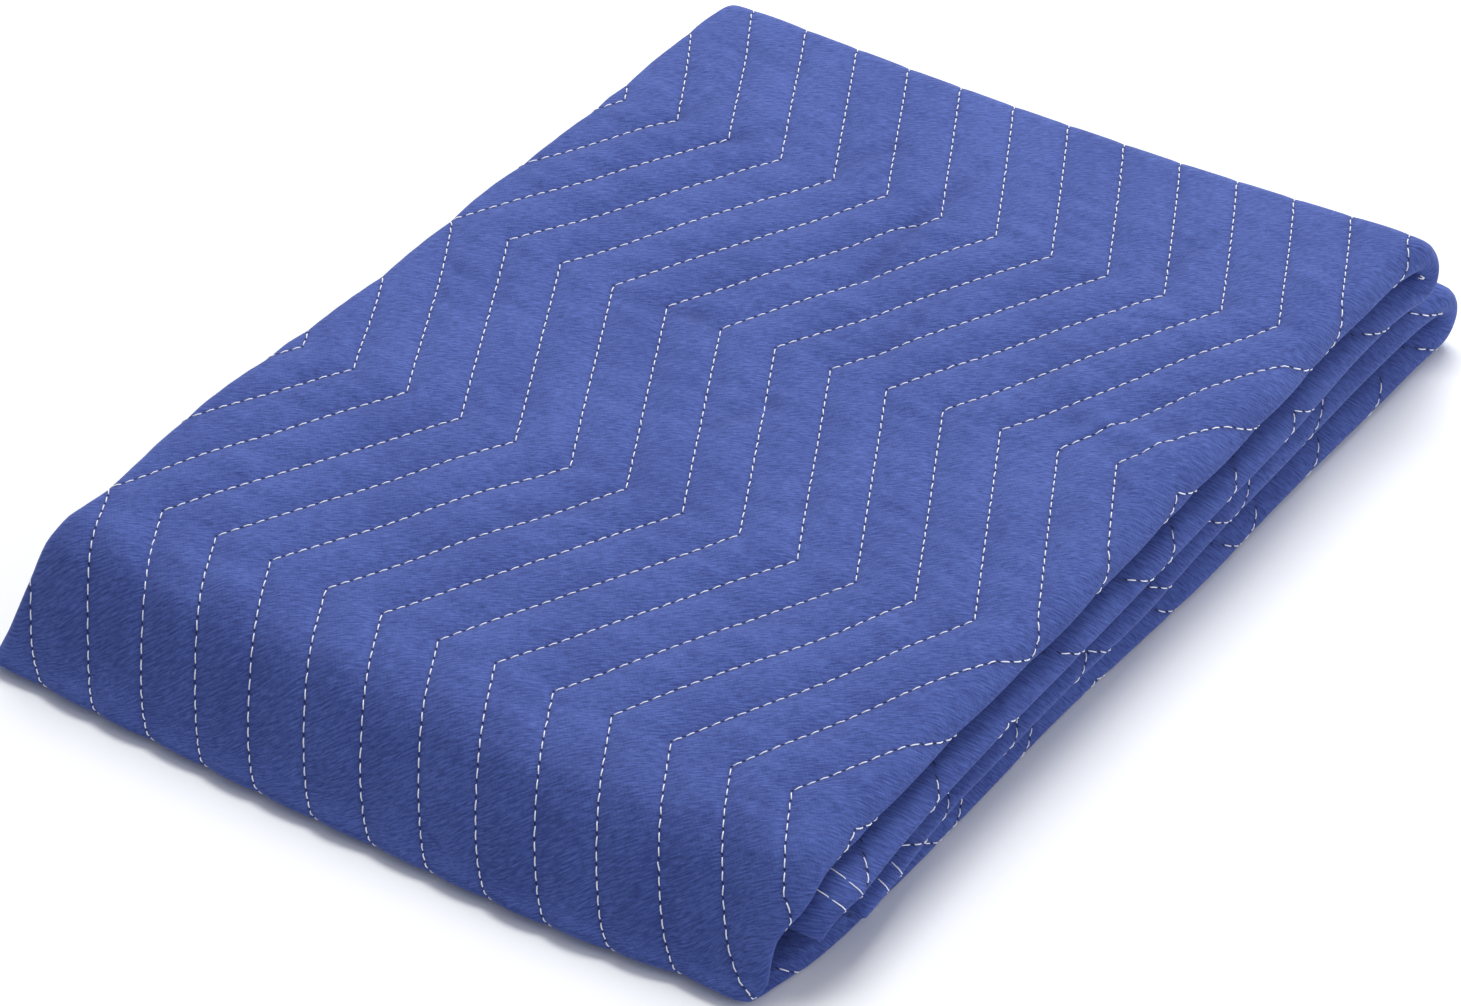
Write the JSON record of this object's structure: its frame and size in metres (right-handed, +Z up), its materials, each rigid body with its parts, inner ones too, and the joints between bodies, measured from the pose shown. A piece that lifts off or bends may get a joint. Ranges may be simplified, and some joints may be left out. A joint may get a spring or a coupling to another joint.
{
  "type": "folded moving blanket",
  "caption": "Quilted moving blanket in mid blue with white zigzag stitching, folded in thirds, its ends turned in and then folded in half, lying flat.",
  "frame": {"origin": "middle of the underside's bounding rectangle, on the surface the blanket lies on", "axes": "+Z up through the stack; +Y along the folded strip, from the wide front bend to the two tight far bends; +X across the strip, towards its smooth side fold"},
  "size_m": [0.3472, 0.4932, 0.0598],
  "materials": {
    "blanket": "matt embossed non-woven cover, quilted"
  },
  "bodies": {
    "root": {"blanket": "blanket"}
  },
  "joints": []
}
